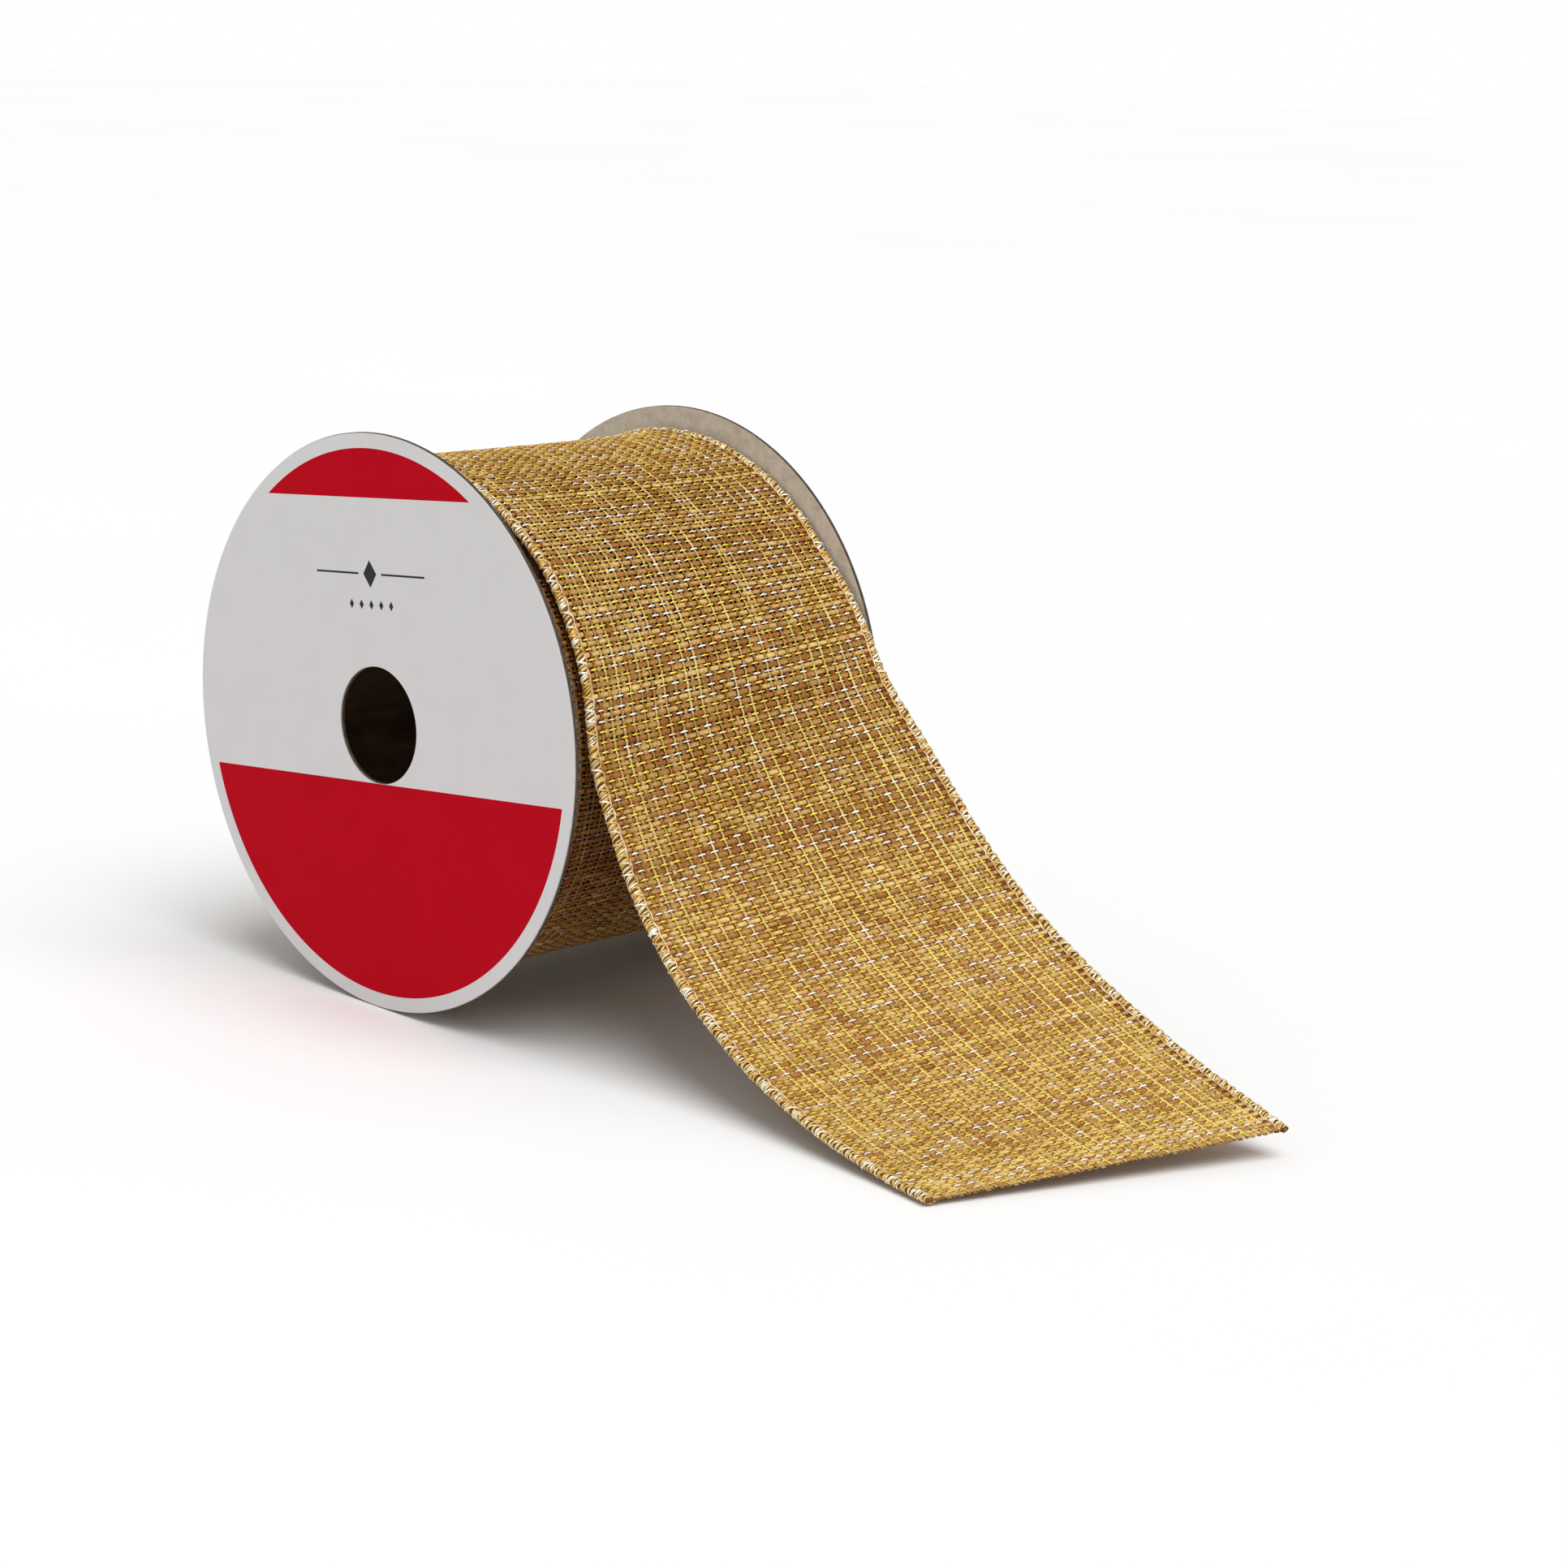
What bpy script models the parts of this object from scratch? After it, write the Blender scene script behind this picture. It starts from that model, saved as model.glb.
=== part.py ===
"""Retail spool of wide wired ribbon, with its loose end hanging off the roll.

Two paperboard flanges are glued to a paperboard core. One long ribbon, a woven strip with an
overlocked hem and a wire along each edge, is wound on the core. The ribbon is made in four
lengths that meet where it flexes: the wound roll, the outermost turn (the wrap), and the
loose tail in an upper and a lower length.

Frame: the origin is on the table, under the middle of the whole object. The spool's axis is
along Y, with the front flange at -Y, and +Z is up. The tail leaves the roll towards +X. Paths
and places below are worked out from the spool's middle, which is at SPOOL_MIDDLE.
"""

import math

import bmesh
import bpy
from mathutils import Vector

MM = 0.001

# Spool
FLANGE_RADIUS = 49.25 * MM
BORE_RADIUS = 9.9 * MM
SPOOL_WIDTH = 71.2 * MM
BOARD_THICKNESS = 0.6 * MM
LABEL_THICKNESS = 0.1 * MM
LABEL_INSET = 0.15 * MM
GLUE_LINE = 0.1 * MM
CORE_OUTER_RADIUS = 26.5 * MM
CORE_WALL = 2.0 * MM
TAPE_WIDTH = 18.0 * MM
TAPE_THICKNESS = 0.15 * MM
TAPE_TURN = math.radians(70)
FLANGE_SEGMENTS = 72
CORE_SEGMENTS = 48
TAPE_STEPS = 8

# The spool stands on the table. The tail makes the whole object's middle lie beside the spool.
SPOOL_MIDDLE = Vector((-50.581 * MM, 1.053 * MM, FLANGE_RADIUS))

# Ribbon cross-section
RIBBON_WIDTH = 63.5 * MM
FABRIC_THICKNESS = 0.7 * MM
HEM_WIDTH = 1.9 * MM
HEM_THICKNESS = 1.2 * MM
HEM_EDGE_WALL = 0.5 * MM
HEM_SLOT_HEIGHT = 0.6 * MM
WIRE_SIZE = 0.4 * MM
SEAM_CLEARANCE = 0.1 * MM

# Ribbon on the spool. Radii are to the middle of the ribbon's thickness.
WRAP_OUTER_RADIUS = 45.45 * MM
TURN_PITCH = 1.5 * MM
WRAP_STEPS = 24
WRAP_SHIFT = 2.5 * MM
ROLL_OUTER_RADIUS = 42.2 * MM
ROLL_TURNS = 9.5
ROLL_STEPS_PER_TURN = 16
ROLL_SHIFT = 0.3 * MM
PEEL_ANGLE = math.radians(41.7)

# Tail centre line in the XZ plane: it lies loosely on the roll, kinks outwards, then runs out
LEAVE_HANDLE = 26.3 * MM
BEND_POINT = Vector((52.7, 0.3)) * MM
BEND_SLOPE = math.radians(50.8)
BEND_HANDLE_IN = 15.0 * MM
BEND_HANDLE_OUT = 22.6 * MM
END_POINT = Vector((139.4, -46.3)) * MM
END_SLOPE = math.radians(7.3)
END_HANDLE = 59.0 * MM
TAIL_DRIFT = -10.4 * MM
TAIL_SKEW = math.radians(20.2)
TAIL_SKEW_FULL_AT = 0.575
TAIL_TILT_MID = math.radians(7.5)
TAIL_TILT_END = math.radians(3.5)
TAIL_HINGE_AT = 0.45
TAIL_SAMPLES = 60
TAIL_UPPER_STEPS = 9
TAIL_LOWER_STEPS = 11
TAIL_COLUMNS = 8

# Flex lines between the ribbon's lengths
FLEX_GAP = 0.4 * MM
FLEX_LIFT = 0.1 * MM

ACROSS = Vector((0, 1, 0))
SMOOTH_ANGLE = math.radians(40)


# ---------------------------------------------------------------- scene, materials, solids

def clear_scene():
    for obj in list(bpy.data.objects):
        bpy.data.objects.remove(obj, do_unlink=True)


def make_material(name, colour, roughness, metallic=0.0):
    material = bpy.data.materials.new(name)
    material.use_nodes = True
    shader = material.node_tree.nodes["Principled BSDF"]
    shader.inputs["Base Color"].default_value = (*colour, 1.0)
    shader.inputs["Roughness"].default_value = roughness
    shader.inputs["Metallic"].default_value = metallic
    material.diffuse_color = (*colour, 1.0)
    return material


def make_pivot(name, place):
    """An empty on a joint's axis. The pieces that turn about the axis are its children.

    The place is measured from the spool's middle.
    """
    pivot = bpy.data.objects.new(name, None)
    pivot.location = SPOOL_MIDDLE + place
    pivot.empty_display_size = 5 * MM
    bpy.context.scene.collection.objects.link(pivot)
    return pivot


def loft(name, sections, material, pivot, closed=False):
    """A solid through a list of sections, each a loop of the same number of points.

    Points are measured from the spool's middle. An open loft gets a flat cap at each end. A
    closed one joins its last section to its first.
    """
    bm = bmesh.new()
    shift = SPOOL_MIDDLE - pivot.location
    loops = [[bm.verts.new(point + shift) for point in section] for section in sections]
    following = loops[1:] + loops[:1] if closed else loops[1:]
    for loop, next_loop in zip(loops, following):
        for i in range(len(loop)):
            j = (i + 1) % len(loop)
            bm.faces.new((loop[i], loop[j], next_loop[j], next_loop[i]))
    if not closed:
        bm.faces.new(loops[0])
        bm.faces.new(loops[-1])
    bmesh.ops.recalc_face_normals(bm, faces=bm.faces)
    mesh = bpy.data.meshes.new(name)
    bm.to_mesh(mesh)
    bm.free()
    mesh.materials.append(material)
    mesh.shade_smooth()
    mesh.set_sharp_from_angle(angle=SMOOTH_ANGLE)
    obj = bpy.data.objects.new(name, mesh)
    obj.parent = pivot
    bpy.context.scene.collection.objects.link(obj)
    return obj


# ---------------------------------------------------------------- spool

def radial(angle):
    return Vector((math.cos(angle), 0, math.sin(angle)))


def ring_section(angle, inner_radius, outer_radius, y_low, y_high):
    """A rectangle in the half-plane at an angle about the spool's axis."""
    out = radial(angle)
    corners = ((inner_radius, y_low), (outer_radius, y_low), (outer_radius, y_high), (inner_radius, y_high))
    return [out * radius + ACROSS * y for radius, y in corners]


def make_ring(name, inner_radius, outer_radius, y_low, y_high, segments, material, pivot):
    sections = [
        ring_section(math.tau * i / segments, inner_radius, outer_radius, y_low, y_high)
        for i in range(segments)
    ]
    return loft(name, sections, material, pivot, closed=True)


def make_flange(name, side, board_material, label_material, pivot):
    """A board with a paper label on its outer face. side is -1 for the front, 1 for the back."""
    outer_face = side * SPOOL_WIDTH / 2
    label_back = outer_face - side * LABEL_THICKNESS
    board_face = label_back - side * GLUE_LINE
    board_back = board_face - side * BOARD_THICKNESS
    label_span = sorted((outer_face, label_back))
    board_span = sorted((board_face, board_back))
    label_radii = (BORE_RADIUS + LABEL_INSET, FLANGE_RADIUS - LABEL_INSET)
    make_ring(f"{name}_label", *label_radii, *label_span, FLANGE_SEGMENTS, label_material, pivot)
    board_radii = (BORE_RADIUS, FLANGE_RADIUS)
    make_ring(f"{name}_board", *board_radii, *board_span, FLANGE_SEGMENTS, board_material, pivot)
    return abs(board_back)


def make_core(inner_face, material, pivot):
    half_length = inner_face - GLUE_LINE
    inner_radius = CORE_OUTER_RADIUS - CORE_WALL
    make_ring("core_tube", inner_radius, CORE_OUTER_RADIUS, -half_length, half_length,
              CORE_SEGMENTS, material, pivot)


def make_tape(end_angle, material, pivot):
    """A double-sided tape between the core and the ribbon's inner end, which is at end_angle."""
    inner_radius = CORE_OUTER_RADIUS + GLUE_LINE
    outer_radius = inner_radius + TAPE_THICKNESS
    sections = [
        ring_section(end_angle - TAPE_TURN * i / TAPE_STEPS, inner_radius, outer_radius,
                     ROLL_SHIFT - TAPE_WIDTH / 2, ROLL_SHIFT + TAPE_WIDTH / 2)
        for i in range(TAPE_STEPS + 1)
    ]
    loft("core_tape", sections, material, pivot)


# ---------------------------------------------------------------- ribbon cross-section

def rectangle(across_low, across_high, thickness, columns=1):
    """A rectangle whose two long sides are split into columns, so that a twisted strip stays even."""
    half = thickness / 2
    steps = [across_low + (across_high - across_low) * i / columns for i in range(columns + 1)]
    return [(v, -half) for v in steps] + [(v, half) for v in reversed(steps)]


def fabric_outline(columns):
    half_width = RIBBON_WIDTH / 2 - HEM_WIDTH - SEAM_CLEARANCE
    return rectangle(-half_width, half_width, FABRIC_THICKNESS, columns)


def hem_outline(side):
    """A C that wraps the ribbon's edge, with its slot open towards the fabric."""
    edge = side * RIBBON_WIDTH / 2
    inner = edge - side * HEM_WIDTH
    slot_end = edge - side * HEM_EDGE_WALL
    top = HEM_THICKNESS / 2
    slot = HEM_SLOT_HEIGHT / 2
    return [(inner, -top), (edge, -top), (edge, top), (inner, top),
            (inner, slot), (slot_end, slot), (slot_end, -slot), (inner, -slot)]


def wire_outline(side):
    """The edge wire, in the closed end of the hem's slot."""
    outer = side * (RIBBON_WIDTH / 2 - HEM_EDGE_WALL - SEAM_CLEARANCE)
    inner = outer - side * WIRE_SIZE
    return rectangle(min(inner, outer), max(inner, outer), WIRE_SIZE)


def ribbon_outlines(columns):
    return {
        "fabric": fabric_outline(columns),
        "front_hem": hem_outline(-1),
        "back_hem": hem_outline(1),
        "front_wire": wire_outline(-1),
        "back_wire": wire_outline(1),
    }


def make_ribbon(name, stations, materials, pivot, columns=1):
    """Five pieces of one length of ribbon.

    A station is the ribbon's middle point, its direction across, and its outward normal.
    """
    for part, outline in ribbon_outlines(columns).items():
        sections = [
            [middle + across * v + normal * n for v, n in outline]
            for middle, across, normal in stations
        ]
        loft(f"{name}_{part}", sections, materials[part], pivot)


# ---------------------------------------------------------------- ribbon paths

def spiral_station(turn_angle, outer_radius, shift):
    """A station on a spiral that starts at the peel line and winds inwards."""
    angle = PEEL_ANGLE + turn_angle
    radius = outer_radius - TURN_PITCH * turn_angle / math.tau
    return radial(angle) * radius + ACROSS * shift, ACROSS, radial(angle)


def wrap_stations():
    """One turn. It drifts sideways from the roll's place to the tail's place."""
    gap_angle = FLEX_GAP / 2 / WRAP_OUTER_RADIUS
    angles = [gap_angle] + [math.tau * i / WRAP_STEPS for i in range(1, WRAP_STEPS + 1)]
    drift = ROLL_SHIFT - WRAP_SHIFT
    return [
        spiral_station(angle, WRAP_OUTER_RADIUS, WRAP_SHIFT + drift * angle / math.tau)
        for angle in angles
    ]


def roll_stations():
    steps = round(ROLL_TURNS * ROLL_STEPS_PER_TURN)
    return [
        spiral_station(math.tau * i / ROLL_STEPS_PER_TURN, ROLL_OUTER_RADIUS, ROLL_SHIFT)
        for i in range(steps + 1)
    ]


def bezier(start, start_handle, end_handle, end, t):
    s = 1 - t
    return (start * s ** 3 + start_handle * 3 * s ** 2 * t
            + end_handle * 3 * s * t ** 2 + end * t ** 3)


def slope_direction(slope):
    """The direction of travel down a slope, in the XZ plane."""
    return Vector((math.cos(slope), -math.sin(slope)))


def tail_centre_line():
    """Points from the peel line to the cut end, and the distance along to each."""
    peel = Vector((math.cos(PEEL_ANGLE), math.sin(PEEL_ANGLE))) * WRAP_OUTER_RADIUS
    leave = Vector((math.sin(PEEL_ANGLE), -math.cos(PEEL_ANGLE)))
    bend = slope_direction(BEND_SLOPE)
    first = (peel, peel + leave * LEAVE_HANDLE, BEND_POINT - bend * BEND_HANDLE_IN, BEND_POINT)
    second = (BEND_POINT, BEND_POINT + bend * BEND_HANDLE_OUT,
              END_POINT - slope_direction(END_SLOPE) * END_HANDLE, END_POINT)
    points = [bezier(*first, i / TAIL_SAMPLES) for i in range(TAIL_SAMPLES)]
    points += [bezier(*second, i / TAIL_SAMPLES) for i in range(TAIL_SAMPLES + 1)]
    distances = [0.0]
    for a, b in zip(points, points[1:]):
        distances.append(distances[-1] + (b - a).length)
    return points, distances


def tail_point(line, u):
    """The middle of the tail at a fraction u of its length."""
    points, distances = line
    target = u * distances[-1]
    index = 1
    while index < len(points) - 1 and distances[index] < target:
        index += 1
    step = distances[index] - distances[index - 1]
    flat = points[index - 1].lerp(points[index], (target - distances[index - 1]) / step)
    return Vector((flat.x, WRAP_SHIFT + TAIL_DRIFT * u * u, flat.y))


def tail_across(u):
    """The direction across the tail: it skews towards +X and tilts up on its back edge."""
    t = min(max(u / TAIL_SKEW_FULL_AT, 0.0), 1.0)
    skew = TAIL_SKEW * t * t * (3 - 2 * t)
    tilt = TAIL_TILT_MID * 4 * u * (1 - u) + TAIL_TILT_END * u
    return Vector((math.sin(skew) * math.cos(tilt), math.cos(skew) * math.cos(tilt), math.sin(tilt)))


def tail_station(line, u):
    step = 0.01
    direction = tail_point(line, min(u + step, 1.0)) - tail_point(line, max(u - step, 0.0))
    across = tail_across(max(u, 0.0))
    return tail_point(line, u), across, direction.cross(across).normalized()


def tail_stations(line, start, end, steps):
    return [tail_station(line, start + (end - start) * i / steps) for i in range(steps + 1)]


def flex_pivot(name, station):
    """A pivot on the ribbon's outer side, so the lengths open as the tail is lifted."""
    middle, _, normal = station
    return make_pivot(name, middle + normal * (HEM_THICKNESS / 2 + FLEX_LIFT))


# ---------------------------------------------------------------- assembly

def ribbon_materials():
    fabric = make_material("woven_ribbon", (0.42, 0.27, 0.11), 0.75)
    hem = make_material("metallic_overlock_thread", (0.60, 0.47, 0.22), 0.4, 0.5)
    wire = make_material("edge_wire", (0.55, 0.53, 0.50), 0.35, 1.0)
    return {"fabric": fabric, "front_hem": hem, "back_hem": hem, "front_wire": wire, "back_wire": wire}


def build():
    clear_scene()
    board = make_material("greyboard", (0.36, 0.33, 0.29), 0.85)
    label = make_material("printed_paper", (0.60, 0.58, 0.57), 0.45)
    core = make_material("core_paperboard", (0.33, 0.24, 0.16), 0.9)
    tape = make_material("adhesive_tape", (0.75, 0.70, 0.58), 0.3)
    ribbon = ribbon_materials()

    spool_pivot = make_pivot("spool_axis", Vector((0, 0, 0)))
    inner_face = make_flange("front_flange", -1, board, label, spool_pivot)
    make_flange("back_flange", 1, board, label, spool_pivot)
    make_core(inner_face, core, spool_pivot)
    roll = roll_stations()
    make_ribbon("roll", roll, ribbon, spool_pivot)
    make_tape(PEEL_ANGLE + math.tau * ROLL_TURNS, tape, spool_pivot)

    wrap_pivot = make_pivot("wrap_axis", Vector((0, 0, 0)))
    make_ribbon("wrap", wrap_stations(), ribbon, wrap_pivot)

    line = tail_centre_line()
    gap = FLEX_GAP / 2 / line[1][-1]
    peel_pivot = flex_pivot("tail_peel_axis", tail_station(line, 0.0))
    upper = tail_stations(line, gap, TAIL_HINGE_AT - gap, TAIL_UPPER_STEPS)
    make_ribbon("tail_upper", upper, ribbon, peel_pivot, TAIL_COLUMNS)
    bend_pivot = flex_pivot("tail_bend_axis", tail_station(line, TAIL_HINGE_AT))
    lower = tail_stations(line, TAIL_HINGE_AT + gap, 1.0, TAIL_LOWER_STEPS)
    make_ribbon("tail_lower", lower, ribbon, bend_pivot, TAIL_COLUMNS)


build()
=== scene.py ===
"""Looks of the ribbon spool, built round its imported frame. Metres, +Z up, spool's axis along Y.

The ribbon is modelled yarn by yarn. Every yarn is drawn in ribbon coordinates (s along the
ribbon from the peel line, v across it, n above its middle surface) and then mapped on to the
ribbon's path: the outermost turn on the roll (the wrap) for negative s, the tail for positive.
"""

import math

import bmesh
import bpy
import numpy as np
from mathutils import Matrix, Vector


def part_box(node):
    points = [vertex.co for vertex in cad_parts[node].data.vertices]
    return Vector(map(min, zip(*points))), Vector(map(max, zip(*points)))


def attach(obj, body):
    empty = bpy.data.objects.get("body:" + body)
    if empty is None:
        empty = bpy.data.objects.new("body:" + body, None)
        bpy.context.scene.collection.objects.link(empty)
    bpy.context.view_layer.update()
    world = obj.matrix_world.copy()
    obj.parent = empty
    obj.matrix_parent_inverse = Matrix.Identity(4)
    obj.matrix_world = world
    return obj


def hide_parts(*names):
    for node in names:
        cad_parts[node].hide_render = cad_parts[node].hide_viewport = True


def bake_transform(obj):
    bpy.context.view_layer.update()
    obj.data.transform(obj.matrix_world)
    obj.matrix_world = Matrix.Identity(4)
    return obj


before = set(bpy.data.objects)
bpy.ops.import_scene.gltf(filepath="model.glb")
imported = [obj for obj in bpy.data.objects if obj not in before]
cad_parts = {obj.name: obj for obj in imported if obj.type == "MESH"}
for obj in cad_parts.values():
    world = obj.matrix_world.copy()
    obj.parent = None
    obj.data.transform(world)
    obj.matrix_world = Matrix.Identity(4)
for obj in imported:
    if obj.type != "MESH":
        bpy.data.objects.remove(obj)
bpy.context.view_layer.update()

MM = 0.001
SIDES = ((-1, "front"), (1, "back"))
rng = np.random.default_rng(20261116)


def box_middle(node):
    """The middle of a CAD node's box."""
    low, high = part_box(node)
    return (low + high) / 2


def box_radius(node):
    """The radius of a CAD node that is round about the spool's axis."""
    low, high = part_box(node)
    return (high.x - low.x) / 2


# ---------------- sizes

SPOOL_MIDDLE = np.array(box_middle("core_tube"))
FLANGE_RADIUS = box_radius("front_flange_board")
LABEL_RADIUS = box_radius("front_flange_label")
CORE_RADIUS = box_radius("core_tube")
HALF_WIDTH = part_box("back_flange_label")[1].y - SPOOL_MIDDLE[1]
CORE_HALF_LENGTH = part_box("core_tube")[1].y - SPOOL_MIDDLE[1]
BORE_RADIUS = 9.9 * MM
LABEL_INSET = 0.15 * MM
LABEL_THICKNESS = 0.1 * MM
GLUE_LINE = 0.1 * MM
BOARD_THICKNESS = 0.6 * MM
CORE_WALL = 2.0 * MM
FLANGE_SEGMENTS = 192

# Ribbon path, the same as the frame's solids. Radii are to the middle of the thickness.
RIBBON_WIDTH = 63.5 * MM
WRAP_RADIUS = 45.45 * MM
TURN_PITCH = 1.5 * MM
WRAP_SHIFT = 2.5 * MM
ROLL_RADIUS = 42.2 * MM
ROLL_SHIFT = 0.3 * MM
ROLL_TURNS = 9.5
PEEL_ANGLE = math.radians(41.7)
LEAVE_HANDLE = 26.3 * MM
BEND_POINT = np.array((52.7, 0.3)) * MM
BEND_SLOPE = math.radians(50.8)
BEND_HANDLE_IN = 15.0 * MM
BEND_HANDLE_OUT = 22.6 * MM
END_POINT = np.array((139.4, -46.3)) * MM
END_SLOPE = math.radians(7.3)
END_HANDLE = 59.0 * MM
TAIL_DRIFT = -10.4 * MM
TAIL_SKEW = math.radians(20.2)
TAIL_SKEW_FULL_AT = 0.575
TAIL_TILT_MID = math.radians(7.5)
TAIL_TILT_END = math.radians(3.5)
PATH_STEP = 0.1 * MM
PATH_SMOOTHING = 2.0 * MM

# Weave: thick wefts and thin metallic wefts take turns, over and under the warps. The rows
# (pairs of wefts) stand wider on the roll, where the cloth is pulled tight, than on the tail.
WARP_COUNT = 51
WARP_SPAN = 59.2 * MM
WARP_CROWDING = 0.06
ROLL_PAIR_PITCH = 1.9 * MM
TAIL_PAIR_PITCH = 1.63 * MM
END_PAIR_PITCH = 1.5 * MM
CUT_FRINGE = 0.45 * MM

# The ribbon's looks are made in zones. The wrap's pieces ride on their own body, and the peel zone's
# and the tail's keep the places they are built in.
# The peel zone runs from one of these rows to the other. Row 0 is at the peel line.
PEEL_ZONE_FIRST_ROW = -9
PEEL_ZONE_LAST_ROW = 16

# Shape of the ribbon across its width
FABRIC_SAG = 0.62 * MM
TAIL_SAG_SHARE = 0.3
WRAP_SETTLE = 0.38 * MM
SAG_CHANGE_LENGTH = 12 * MM
HEM_MIDDLE = RIBBON_WIDTH / 2 - 0.92 * MM
HEM_HALF_WIDTH = 0.72 * MM
HEM_HALF_HEIGHT = 0.46 * MM
WIRE_RADIUS = 0.2 * MM
WIRE_OFFSET = 0.25 * MM
WIRE_SHOWS = 0.25 * MM

# Unevenness along the ribbon: waves in height over the whole width, and waves of the hems in
# height and sideways. A length here is that of one radian of the wave.
SWELL_HEIGHT = 0.06 * MM
SWELL_LENGTH = 23 * MM
SWELL_WIDTH = 17 * MM
HEM_RIPPLE_HEIGHT = 0.1 * MM
HEM_RIPPLE_LENGTH = 7.3 * MM
HEM_SHORT_RIPPLE_HEIGHT = 0.05 * MM
HEM_SHORT_RIPPLE_LENGTH = 3.1 * MM
HEM_SWAY = 0.16 * MM
HEM_SWAY_LENGTH = 9.7 * MM
BACK_HEM_PHASE = 2.1


# ---------------- materials

def srgb(red, green, blue):
    """Linear colour of 8-bit sRGB values."""
    def linear(value):
        value /= 255
        return value / 12.92 if value <= 0.04045 else ((value + 0.055) / 1.055) ** 2.4
    return linear(red), linear(green), linear(blue)


class Material:
    """A Principled material with short calls for its node tree."""

    def __init__(self, name, **values):
        self.material = bpy.data.materials.new(name)
        self.material.use_nodes = True
        self.tree = self.material.node_tree
        self.shader = self.tree.nodes["Principled BSDF"]
        self.place = self.add("ShaderNodeTexCoord").outputs["Object"]
        self.set(**values)

    def add(self, kind, inputs=None, **settings):
        """A new node. Its inputs are set to values, or linked to sockets."""
        node = self.tree.nodes.new(kind)
        for key, value in settings.items():
            setattr(node, key, value)
        for key, value in (inputs or {}).items():
            self.put(node.inputs[key], value)
        return node

    def put(self, socket, value):
        """Sets one input, or links it. Colours may leave out their alpha."""
        if isinstance(value, bpy.types.NodeSocket):
            self.tree.links.new(value, socket)
        elif isinstance(value, (tuple, list)) and len(value) < len(socket.default_value):
            socket.default_value = (*value, 1.0)
        else:
            socket.default_value = value

    def set(self, **values):
        """Sets or links inputs of the shader. Spaces in their names are underscores."""
        for key, value in values.items():
            self.put(self.shader.inputs[key.replace("_", " ")], value)

    def stretched(self, scale):
        return self.add("ShaderNodeMapping", {"Scale": scale, "Vector": self.place}).outputs["Vector"]

    def noise(self, scale, detail=3.0, roughness=0.55, vector=None):
        inputs = {"Vector": vector or self.place, "Scale": scale, "Detail": detail,
                  "Roughness": roughness}
        return self.add("ShaderNodeTexNoise", inputs).outputs["Fac"]

    def attribute(self, name):
        return self.add("ShaderNodeAttribute", attribute_name=name).outputs["Fac"]

    def math(self, operation, a, b=0.0):
        return self.add("ShaderNodeMath", {0: a, 1: b}, operation=operation).outputs[0]

    def ramp(self, factor, *stops):
        """Colours by factor, from (position, colour) stops."""
        node = self.add("ShaderNodeValToRGB", {"Fac": factor})
        elements = node.color_ramp.elements
        while len(elements) < len(stops):
            elements.new(0.5)
        for element, (position, colour) in zip(elements, stops):
            element.position = position
            element.color = (*colour, 1.0)
        return node.outputs["Color"]

    def mix(self, factor, a, b, blend="MIX"):
        inputs = {0: factor, 6: a, 7: b}
        return self.add("ShaderNodeMix", inputs, data_type="RGBA", blend_type=blend).outputs[2]

    def range(self, value, low, high, to_low, to_high):
        inputs = {"Value": value, "From Min": low, "From Max": high, "To Min": to_low,
                  "To Max": to_high}
        return self.add("ShaderNodeMapRange", inputs).outputs["Result"]

    def bump(self, height, distance, strength=1.0):
        inputs = {"Height": height, "Distance": distance, "Strength": strength}
        self.set(Normal=self.add("ShaderNodeBump", inputs).outputs["Normal"])


RUST = srgb(172, 88, 30)
RUST_SHARE = 0.55
# Painted shade: the dark colour that threads turn to where the outermost turn's inner end lies under
# the tail.
TUCKED_SHADE_COLOUR = srgb(64, 36, 14)


def yarn_material(name, dark, middle, light, dive, roughness=0.62):
    """A matt yarn with rusty flecks.

    Its tone attribute picks its colour, and the attribute for dives turns it to the dive colour:
    painted shade where the yarn goes under other yarns.
    """
    m = Material(name, Specular_IOR_Level=0.12)
    fibre = m.noise(2600, 2.0)
    tone = m.math("ADD", m.attribute("tone"), m.range(fibre, 0.3, 0.7, -0.16, 0.16))
    colour = m.ramp(tone, (0.05, dark), (0.5, middle), (0.95, light))
    rusty = m.range(m.noise(1300, 2.0), 0.5, 0.66, 0.0, RUST_SHARE)
    colour = m.mix(rusty, colour, RUST)
    colour = m.mix(m.attribute("dive"), colour, dive)
    m.set(Base_Color=colour, Roughness=m.range(fibre, 0.3, 0.7, roughness - 0.1, roughness + 0.12))
    m.bump(m.noise(5200, 2.0), 0.03 * MM, 0.6)
    return m.material


def thread_material(name, gold, silver, roughness):
    """A flat metallic thread. One attribute takes it from gold to silver, whose near-white also paints
    glints, and another to the painted shade under the tail.
    """
    m = Material(name, Metallic=0.2)
    crinkle = m.noise(1500, 2.0)
    colour = m.mix(m.attribute("silver"), gold, silver)
    colour = m.mix(m.attribute("tucked"), colour, TUCKED_SHADE_COLOUR)
    shade = m.ramp(m.noise(700, 1.0), (0.3, (0.84, 0.78, 0.66)), (0.55, (1.0, 1.0, 1.0)))
    m.set(Base_Color=m.mix(1.0, colour, shade, "MULTIPLY"),
          Roughness=m.range(crinkle, 0.3, 0.7, roughness - 0.08, roughness + 0.12))
    m.bump(crinkle, 0.05 * MM, 0.7)
    return m.material


def shade_ground_material():
    """Fine fibres behind the yarns, nearly black as painted shade seen through the gaps. The tone
    attribute takes them to lit, painted light that comes through the cloth on the tail.
    """
    m = Material("woven_ground_painted_shade", Roughness=0.85, Specular_IOR_Level=0.0)
    fibre = m.noise(900)
    dark = m.ramp(fibre, (0.3, srgb(16, 6, 1)), (0.7, srgb(44, 18, 5)))
    lit = m.ramp(fibre, (0.3, srgb(150, 86, 34)), (0.7, srgb(188, 124, 58)))
    m.set(Base_Color=m.mix(m.attribute("tone"), dark, lit))
    return m.material


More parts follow.
